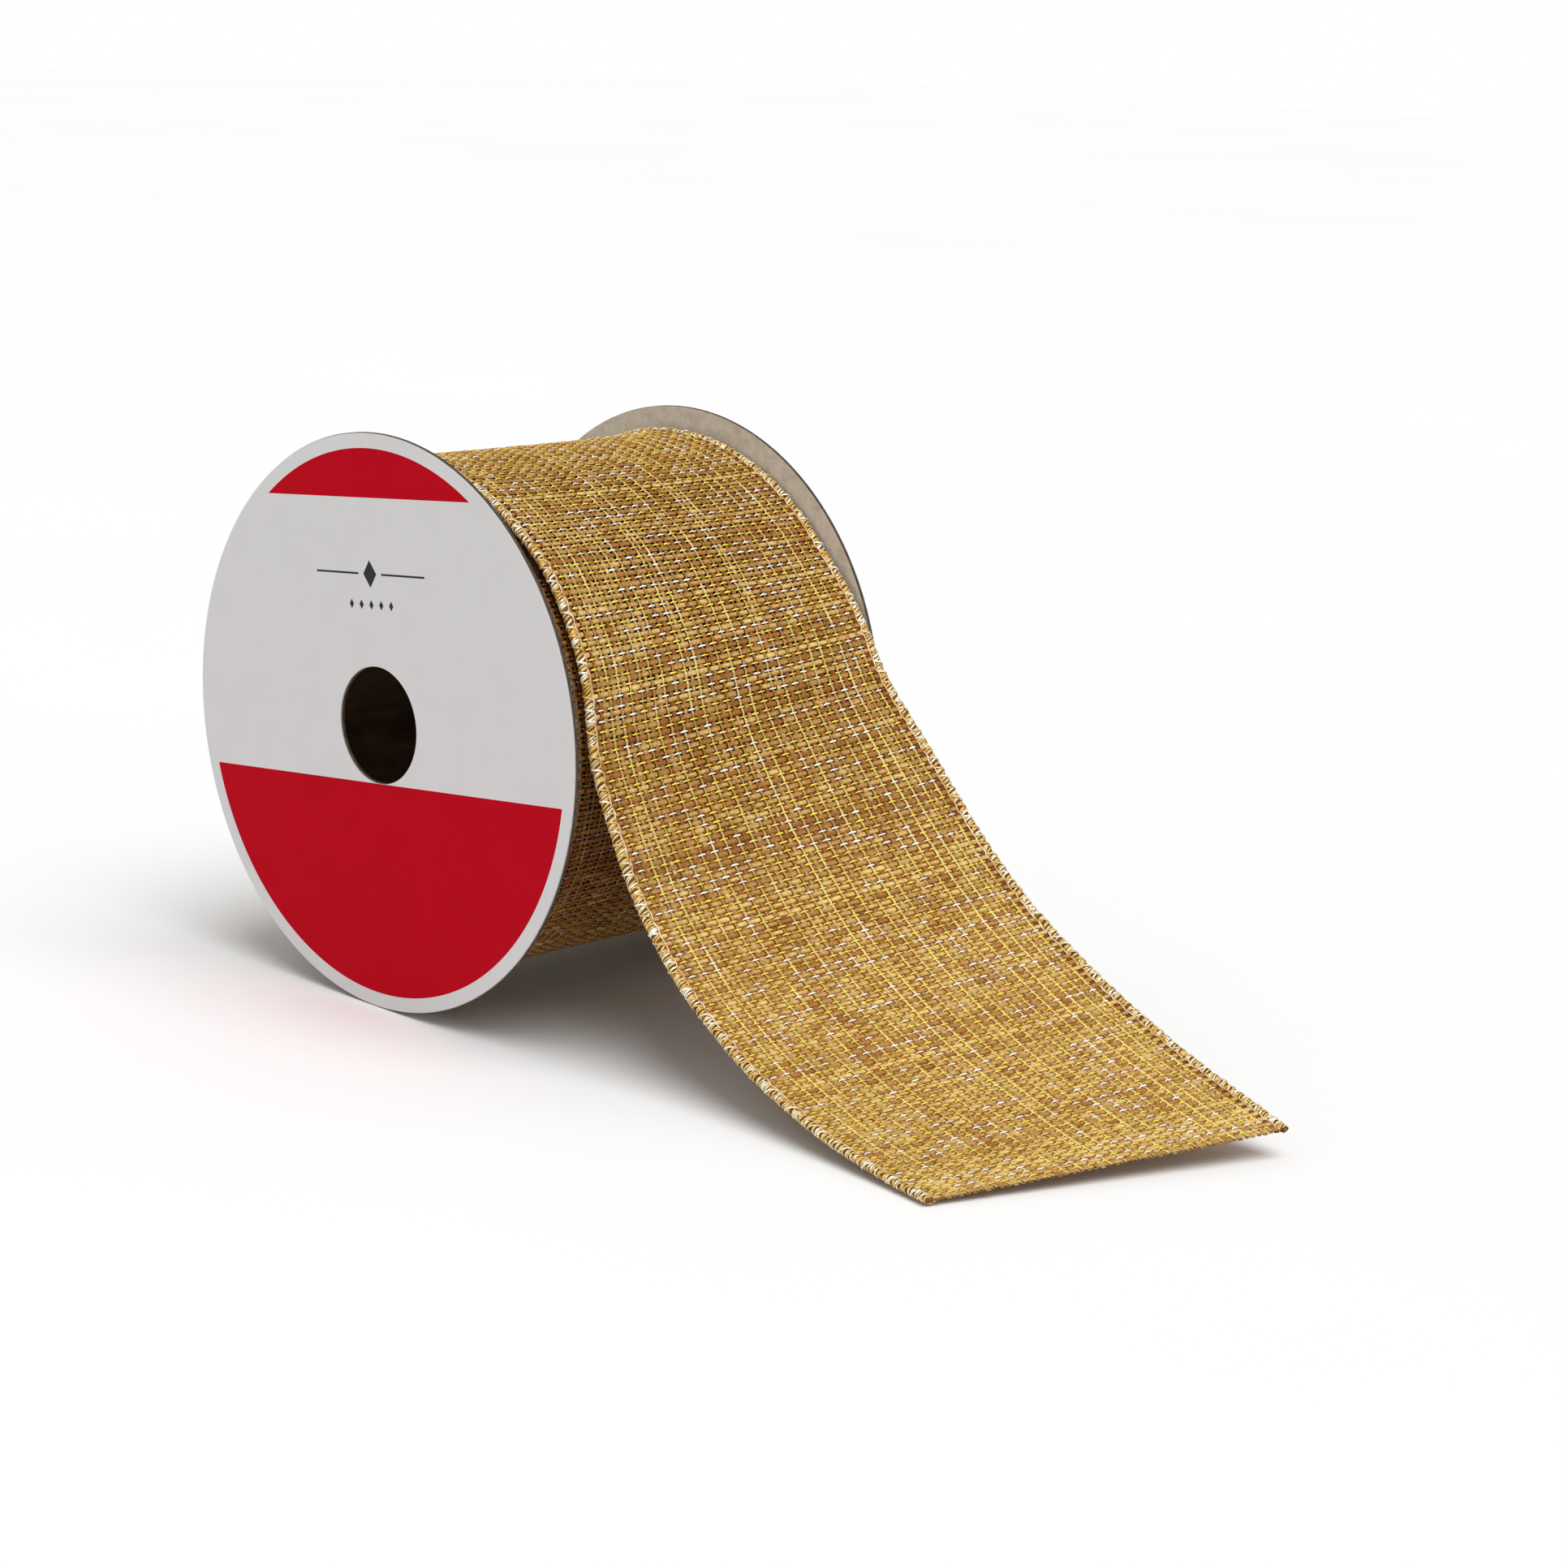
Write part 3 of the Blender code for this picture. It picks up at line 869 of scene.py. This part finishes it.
def hem_threads(name, start, end, side, material):
    """Flat metallic threads wound unevenly round the folded edge, in both hands.

    They start and end at the same angles in each zone, so that they meet at the zones' ends.
    """
    count = len(OVERLOCK_THREADS)
    s = along(start, end, THREAD_PITCH / THREAD_STEPS)
    near_ends = smoothstep(np.minimum(s - start, end - s) / (2 * MM))
    slip = wander(s, count, 0.8, 2.5 * MM, 9 * MM) * near_ends
    swell = wander(s, count, 0.06 * MM, 1.5 * MM, 7 * MM)
    # Painted glints: waves along each thread that turn it near-white.
    painted_glint = wander(s, count, 0.8, 1.2 * MM, 9 * MM)
    corners = corner_angles(5)
    threads = []
    for index, (hand, first_angle, out) in enumerate(OVERLOCK_THREADS):
        around = (s / THREAD_PITCH * math.tau + slip[index]) * hand + first_angle
        reach = out * MM + swell[index][:, None] + np.sin(corners) * THREAD_HALF[1]
        v = side * HEM_MIDDLE + np.cos(around)[:, None] * (HEM_HALF_WIDTH + reach)
        n = np.sin(around)[:, None] * (HEM_HALF_HEIGHT + reach)
        corner_s = s[:, None] + np.cos(corners) * THREAD_HALF[0] * hand
        threads.append(ribbon.point(np.clip(corner_s, start, end), v, n))
    # Painted shade on the overlock where the turn's inner end lies under the tail.
    tucked = np.tile(TUCKED_THREAD_SHADE * under_tail_shade(s), (len(threads), 1))
    return tubes(name, np.stack(threads), material, silver=smoothstep(0.25 + painted_glint), tucked=tucked)


def hem_needle_line(name, start, end, side, material):
    """The stitch line along the hem's inner edge, above and below the cloth."""
    s = along(start, end, 0.3 * MM)
    lines = []
    corners = corner_angles(5)
    for face in (1, -1):
        weaving = 0.10 * MM * np.sin(s / (0.5 * MM) + face)
        v = side * (HEM_MIDDLE - HEM_HALF_WIDTH - 0.12 * MM + weaving)
        n = face * (0.30 + 0.10 * np.sin(s / (0.37 * MM))) * MM
        lines.append(strand(s, v[:, None] + np.cos(corners) * NEEDLE_THREAD_HALF[0],
                            n[:, None] + np.sin(corners) * NEEDLE_THREAD_HALF[1]))
    silver = 0.4 + 0.3 * np.sin(s / (3 * MM))
    # Painted shade on the stitch line where the turn's inner end lies under the tail.
    tucked = TUCKED_THREAD_SHADE * under_tail_shade(s)
    return tubes(name, np.concatenate(lines), material, silver=silver[None], tucked=tucked[None])


def wire_section(side, count):
    """Corners of the edge wire."""
    corners = corner_angles(count)
    return (side * (HEM_MIDDLE + WIRE_OFFSET) + np.cos(corners) * WIRE_RADIUS,
            np.sin(corners) * WIRE_RADIUS)


def hem_wire(name, start, end, side, material):
    """The wire inside a hem."""
    s = along(start, end, 1.2 * MM)
    return tubes(name, strand(s, *wire_section(side, 8)), material)


# ---------------- wound roll

ROLL_CLOTH_HALF_WIDTH = RIBBON_WIDTH / 2 - 1.4 * MM
ROLL_CLOTH_HALF_THICKNESS = 0.3 * MM
ROLL_SAG = 0.25 * MM
ROLL_STEPS = 90
ROLL_HEM_STEPS = 620
ROLL_HEM_STITCHES = 210


def roll_turn(steps):
    """Angles wound inwards from the peel line, from the roll's inner end, steps to a turn."""
    return np.linspace(ROLL_TURNS * math.tau, 0, round(ROLL_TURNS * steps))


def roll_strand(turn, v, n):
    """Points of one tube along the wound roll's spiral. v and n are as for a strand."""
    turn = turn[:, None]
    radius = ROLL_RADIUS - TURN_PITCH * turn / math.tau + n - ROLL_SAG
    angle = PEEL_ANGLE + turn
    sway = 0.25 * MM * np.sin(turn * 0.7 + 1) + 0.15 * MM * np.sin(turn * 2.3)
    place = np.stack((np.cos(angle) * radius, ROLL_SHIFT + v + sway, np.sin(angle) * radius), -1)
    return (place + SPOOL_MIDDLE)[None]


def stand_for(obj, node):
    """Makes a piece of the spool stand for a CAD node."""
    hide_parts(node)
    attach(obj, "spool")


def make_roll(materials):
    """The ribbon wound under the outermost turn. Only its edges are seen."""
    turn = roll_turn(ROLL_STEPS)
    section = strip_section(ROLL_CLOTH_HALF_WIDTH, ROLL_CLOTH_HALF_THICKNESS, 9)
    cloth = tubes("roll_cloth", roll_strand(turn, *section), materials["wound"])
    stand_for(cloth, "roll_fabric")
    for side, name in SIDES:
        hem = roll_hem(f"roll_{name}_overlock", side, materials["shaded"])
        stand_for(hem, f"roll_{name}_hem")
        wire = tubes(f"roll_{name}_edge_wire", roll_strand(turn, *wire_section(side, 6)),
                     materials["wire"])
        stand_for(wire, f"roll_{name}_wire")


def roll_hem(name, side, material):
    """An inner hem, with its stitches as lumps along it."""
    turn = roll_turn(ROLL_HEM_STEPS)
    angles = corner_angles(6)
    stitch = turn * ROLL_HEM_STITCHES
    lump = 1 + 0.16 * np.sin(stitch)[:, None]
    twist = 0.25 * np.sin(stitch * 0.5)[:, None]
    v = side * HEM_MIDDLE + np.cos(angles + twist) * (HEM_HALF_WIDTH + 0.1 * MM) * lump
    n = np.sin(angles + twist) * (HEM_HALF_HEIGHT + 0.08 * MM) * lump
    # Painted glints: near-white only now and then along the dark inner hem.
    silver = smoothstep(np.sin(stitch * 0.21) * 3 - 1.6)
    return tubes(name, roll_strand(turn, v, n), material, silver=silver[None])


# ---------------- spool

def lathe(name, profile, segments, materials):
    """A closed ring: a closed (radius, y) profile turned about the spool's axis."""
    profile = np.array(profile)
    angles = np.arange(segments) * math.tau / segments
    points = np.stack((np.cos(angles)[:, None] * profile[:, 0],
                       np.broadcast_to(profile[:, 1], (segments, len(profile))),
                       np.sin(angles)[:, None] * profile[:, 0]), -1) + SPOOL_MIDDLE
    index = np.arange(segments * len(profile)).reshape(segments, len(profile))
    ahead = np.roll(index, -1, 0)
    faces = np.stack((index, np.roll(index, -1, 1), np.roll(ahead, -1, 1), ahead), -1).reshape(-1, 4)
    obj = mesh_object(name, points.reshape(-1, 3), (faces,), materials)
    fix_normals(obj)
    obj.data.set_sharp_from_angle(angle=math.radians(40))
    return obj


def fix_normals(obj):
    """Turns all faces outwards."""
    bm = bmesh.new()
    bm.from_mesh(obj.data)
    bmesh.ops.recalc_face_normals(bm, faces=bm.faces)
    bm.to_mesh(obj.data)
    bm.free()


def make_board(side, name, materials):
    """A greyboard disc with slightly crushed edges. The edges show the pulp's layers."""
    face = side * (HALF_WIDTH - LABEL_THICKNESS - GLUE_LINE)
    back = face - side * BOARD_THICKNESS
    crush = 0.08 * MM
    rims = np.linspace(BORE_RADIUS, FLANGE_RADIUS, 12)
    low, high = rims[0], rims[-1]
    profile = [(low + crush, face)] + [(r, face) for r in rims[1:-1]] + [(high - crush, face)]
    profile += [(high, face - side * crush), (high, back + side * crush)]
    profile += [(high - crush, back)] + [(r, back) for r in rims[-2:0:-1]] + [(low + crush, back)]
    profile += [(low, back + side * crush), (low, face - side * crush)]
    obj = lathe(f"{name}_board", profile, FLANGE_SEGMENTS, (materials["board"], materials["edge"]))
    for polygon in obj.data.polygons:
        if abs(polygon.normal.y) < 0.9:
            polygon.material_index = 1
    stand_for(obj, f"{name}_flange_board")


# The print: a red disc inside a white rim, with a white band across it. The band's lower and
# upper edges are chords, and the whole print is turned a little on the spool.
PRINT_RADIUS = 0.947 * FLANGE_RADIUS
CAP_CHORD = 0.779 * FLANGE_RADIUS
LOWER_CHORD = -0.203 * FLANGE_RADIUS
LABEL_TURN = math.radians(5.6)


def make_label(side, name, materials):
    """Printed paper: white with a red cap and a red lower part inside a white rim."""
    face = side * HALF_WIDTH
    back = face - side * LABEL_THICKNESS
    hole = BORE_RADIUS + LABEL_INSET
    profile = [(hole, face), (PRINT_RADIUS, face), (LABEL_RADIUS, face),
               (LABEL_RADIUS, back), (PRINT_RADIUS, back), (hole, back)]
    obj = lathe(f"{name}_label", profile, FLANGE_SEGMENTS, (materials["white"], materials["red"]))
    lean = side * LABEL_TURN
    up = Vector((math.sin(lean), 0, math.cos(lean)))
    middle = Vector(SPOOL_MIDDLE)
    bm = bmesh.new()
    bm.from_mesh(obj.data)
    for chord in (CAP_CHORD, LOWER_CHORD):
        geometry = list(bm.verts) + list(bm.edges) + list(bm.faces)
        bmesh.ops.bisect_plane(bm, geom=geometry, plane_co=middle + up * chord, plane_no=up,
                               dist=1e-7)
    for f in bm.faces:
        centre = f.calc_center_median() - middle
        height = centre.dot(up)
        radius = math.hypot(centre.x, centre.z)
        printed = f.normal.y * side > 0.9 and radius < PRINT_RADIUS
        f.material_index = int(printed and (height > CAP_CHORD or height < LOWER_CHORD))
        f.smooth = False
    bm.to_mesh(obj.data)
    bm.free()
    stand_for(obj, f"{name}_flange_label")
    make_ornament(name, side, up, materials["ink"])


# A lozenge between two rules, and a row of small lozenges below: (x, height, half width, half
# height, share), in mm from the ornament's middle. The share is how much of an outline's width
# and height is left at its ends: 0 is a lozenge and 1 a bar.
ORNAMENT_INK = 0.02 * MM
ORNAMENT_HEIGHT = 0.52 * FLANGE_RADIUS
ORNAMENT = [(0, 0, 1.7, 2.3, 0.0), (-8.6, 0, 5.6, 0.16, 1.0), (8.6, 0, 5.6, 0.16, 1.0)]
ORNAMENT += [(2.6 * place, -5.2, 0.55, 0.8, 0.0) for place in range(-2, 3)]


def ornament_outline(x, height, half_width, half_height, share):
    """Eight (sideways, up) corners in mm, anticlockwise from the left."""
    a = np.array((-1, -share, share, 1, 1, share, -share, -1))
    b = np.array((-share, -1, -1, -share, share, 1, 1, share))
    return np.stack((x + half_width * a, height + half_height * b), -1)


def make_ornament(name, side, up, ink):
    """A plain printed ornament in the label's white band, as thin layers of ink."""
    sideways = Vector((up.z, 0, -up.x))
    outlines = np.array([ornament_outline(*shape) for shape in ORNAMENT]) * MM
    outlines = outlines @ np.array((sideways, up)) + np.array(up) * ORNAMENT_HEIGHT
    outlines = outlines[:, None] + SPOOL_MIDDLE
    layers = np.array([(0, side * HALF_WIDTH, 0), (0, side * (HALF_WIDTH + ORNAMENT_INK), 0)])
    obj = tubes(f"{name}_label_ornament", outlines + layers[None, :, None], ink)
    fix_normals(obj)
    obj.data.shade_flat()
    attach(obj, "spool")


def make_core(material):
    """The paperboard tube between the boards."""
    low, high = CORE_RADIUS - CORE_WALL, CORE_RADIUS
    end = CORE_HALF_LENGTH
    crush = 0.2 * MM
    profile = [(low, -end + crush), (low + crush, -end), (high - crush, -end), (high, -end + crush),
               (high, end - crush), (high - crush, end), (low + crush, end), (low, end - crush)]
    obj = lathe("core", profile, 96, (material,))
    stand_for(obj, "core_tube")


# ---------------- stage, light, camera

FLOOR_HALF_SIZE = 4.0
FLOOR_GAP = 0.02 * MM
DOME_STRENGTH = 0.5
KEY_DIRECTION = (0.45, -0.10, 1.0)
KEY_SOFTNESS = math.radians(50)
KEY_STRENGTH = 2.3

CAMERA_AZIMUTH = math.radians(48.14)
CAMERA_ELEVATION = math.radians(11.89)
CAMERA_DISTANCE = 12.386 * FLANGE_RADIUS
CAMERA_YAW = math.radians(4.11)
CAMERA_PITCH = math.radians(-1.31)
CAMERA_ROLL = math.radians(1.16)
CAMERA_LENS = 79.58
CAMERA_SENSOR = 36


def turned(a, b, angle):
    """Two perpendicular directions, turned in their plane from a towards b."""
    return a * math.cos(angle) + b * math.sin(angle), b * math.cos(angle) - a * math.sin(angle)


def make_camera():
    """The camera: aimed at the spool's middle, and then turned a little."""
    a, e = CAMERA_AZIMUTH, CAMERA_ELEVATION
    back = Vector((math.sin(a) * math.cos(e), -math.cos(a) * math.cos(e), math.sin(e)))
    forward = -back
    right = forward.cross(Vector((0, 0, 1))).normalized()
    up = right.cross(forward)
    forward, right = turned(forward, right, CAMERA_YAW)
    forward, up = turned(forward, up, CAMERA_PITCH)
    right, up = turned(right, up, CAMERA_ROLL)
    camera = add_object("camera", bpy.data.cameras.new("camera"))
    camera.data.lens = CAMERA_LENS
    camera.data.sensor_width = CAMERA_SENSOR
    camera.data.clip_start = 0.01
    matrix = Matrix((right, up, -forward)).transposed().to_4x4()
    matrix.translation = Vector(SPOOL_MIDDLE) + back * CAMERA_DISTANCE
    camera.matrix_world = matrix
    bpy.context.scene.camera = camera


def make_floor():
    """A plain pale floor, just under the flanges."""
    m = Material("floor_paper", Roughness=0.9)
    m.set(Base_Color=m.ramp(m.noise(3.0), (0.3, (0.86, 0.86, 0.86)), (0.7, (0.88, 0.88, 0.88))))
    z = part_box("front_flange_board")[0].z - FLOOR_GAP
    corners = np.array([(-1, -1, 0), (1, -1, 0), (1, 1, 0), (-1, 1, 0)]) * FLOOR_HALF_SIZE
    mesh_object("floor", corners + (0, 0, z), (np.arange(4)[None],), (m.material,))


def add_sun(name, direction_to, softness, strength):
    """A distant soft light. Softness is the width of its disc in the sky."""
    light = bpy.data.lights.new(name, "SUN")
    light.energy = strength
    light.angle = softness
    sun = add_object(name, light)
    sun.rotation_euler = Vector(direction_to).to_track_quat("Z", "Y").to_euler()


def make_light():
    """A white room that lights softly from all sides, and a broad key light from above."""
    scene = bpy.context.scene
    scene.view_settings.view_transform = "Standard"
    world = bpy.data.worlds.new("studio")
    world.use_nodes = True
    tree = world.node_tree
    background = tree.nodes["Background"]
    background.inputs["Color"].default_value = (1.0, 1.0, 1.0, 1.0)
    rays = tree.nodes.new("ShaderNodeLightPath")
    strength = tree.nodes.new("ShaderNodeMapRange")
    strength.inputs["To Min"].default_value = DOME_STRENGTH
    strength.inputs["To Max"].default_value = 1.0
    tree.links.new(rays.outputs["Is Camera Ray"], strength.inputs["Value"])
    tree.links.new(strength.outputs["Result"], background.inputs["Strength"])
    scene.world = world
    add_sun("key", KEY_DIRECTION, KEY_SOFTNESS, KEY_STRENGTH)


# ---------------- build

def make_materials():
    """All materials by short name. A yarn's colours are its dark, middle, light and dive ones; the
    dive colour is painted shade.
    """
    return {
        "warp": yarn_material("warp_yarn", srgb(118, 66, 23), srgb(169, 127, 67),
                              srgb(236, 213, 143), srgb(92, 38, 10)),
        "weft": yarn_material("weft_yarn", srgb(118, 66, 23), srgb(169, 125, 65),
                              srgb(228, 198, 122), srgb(100, 42, 12)),
        "fold": yarn_material("folded_edge", srgb(84, 50, 22), srgb(140, 98, 50),
                              srgb(186, 146, 82), srgb(96, 54, 22)),
        "metallic": thread_material("metallic_weft", srgb(248, 220, 70), srgb(255, 254, 250), 0.26),
        "overlock": thread_material("overlock_thread", srgb(222, 182, 94), srgb(255, 251, 232), 0.28),
        # The inner hems' thread: the overlock thread in dark colours, painted shade of the gap between
        # flange and roll.
        "shaded": thread_material("inner_overlock_thread_painted_shade", srgb(104, 68, 28), srgb(236, 206, 130),
                                  0.3),
        "ground": shade_ground_material(),
        "wound": shaded_wound_material(),
        "wire": wire_material(),
        "board": greyboard_material(),
        "edge": board_edge_material(),
        "white": paper_material("label_white", srgb(219, 217, 216), srgb(216, 214, 213), 0.08),
        "red": paper_material("label_red", srgb(190, 12, 31), srgb(186, 11, 28), 0.01),
        "ink": paper_material("label_ink", srgb(58, 56, 58), srgb(44, 42, 44), 0.05),
        "core": kraft_material(),
        "tape": tape_material(),
    }


def build():
    """Makes everything, in the order that the random draws depend on."""
    materials = make_materials()
    for zone in ZONES:
        make_weave(zone, materials)
        make_hems(zone, materials)
    make_roll(materials)
    for side, name in SIDES:
        make_board(side, name, materials)
        make_label(side, name, materials)
    make_core(materials["core"])
    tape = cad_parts["core_tape"]
    tape.data.materials.clear()
    tape.data.materials.append(materials["tape"])
    make_floor()
    make_light()
    make_camera()


build()
